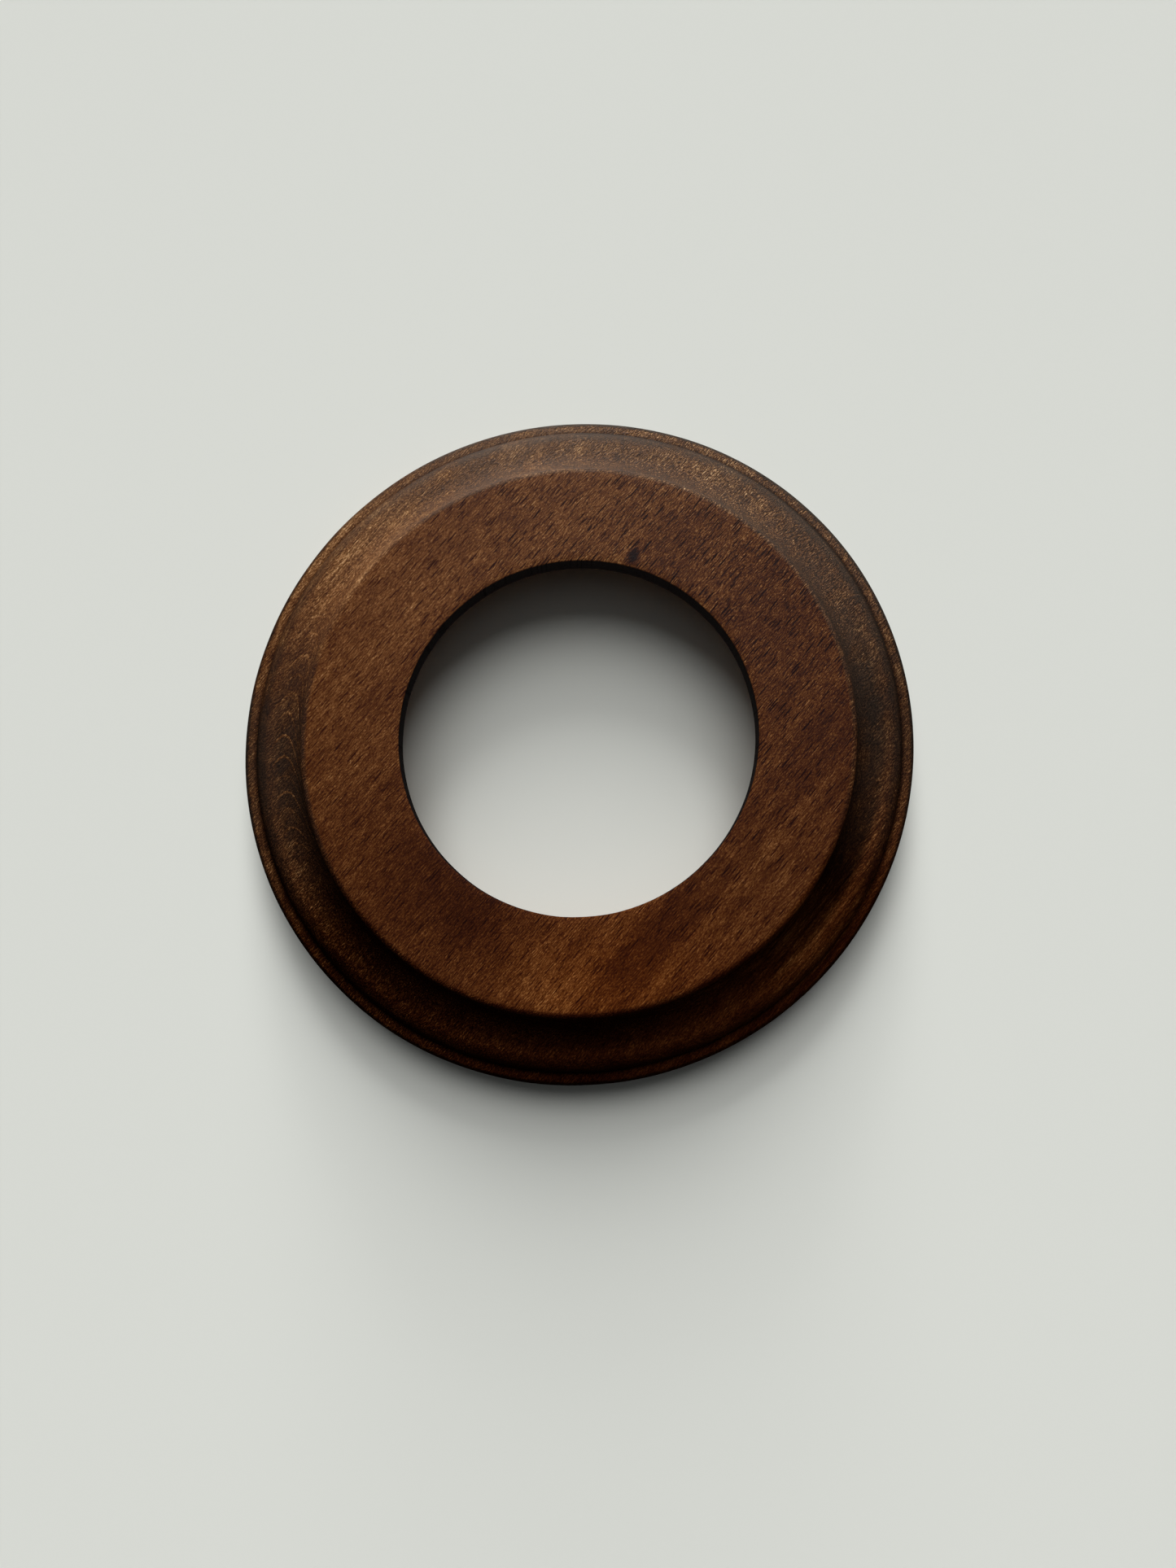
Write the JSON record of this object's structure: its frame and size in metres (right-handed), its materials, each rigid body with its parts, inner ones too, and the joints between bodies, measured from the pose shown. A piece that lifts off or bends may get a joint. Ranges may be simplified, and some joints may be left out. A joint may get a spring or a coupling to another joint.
{
  "type": "moulded wooden ring",
  "caption": "Flat wooden ring with a round opening, a moulded outer edge and a hollowed back; it surrounds or drops over something round.",
  "frame": {"origin": "centre of the ring, on the flat back that it lies on", "axes": "+Z along the ring's axis, out of its flat face; +Y points to the top of the picture and +X to its right"},
  "size_m": [0.12, 0.12, 0.018],
  "materials": {
    "stained_beech": "walnut stain under a thin satin coat"
  },
  "bodies": {
    "root": {"moulded_ring": "stained_beech"}
  },
  "joints": []
}
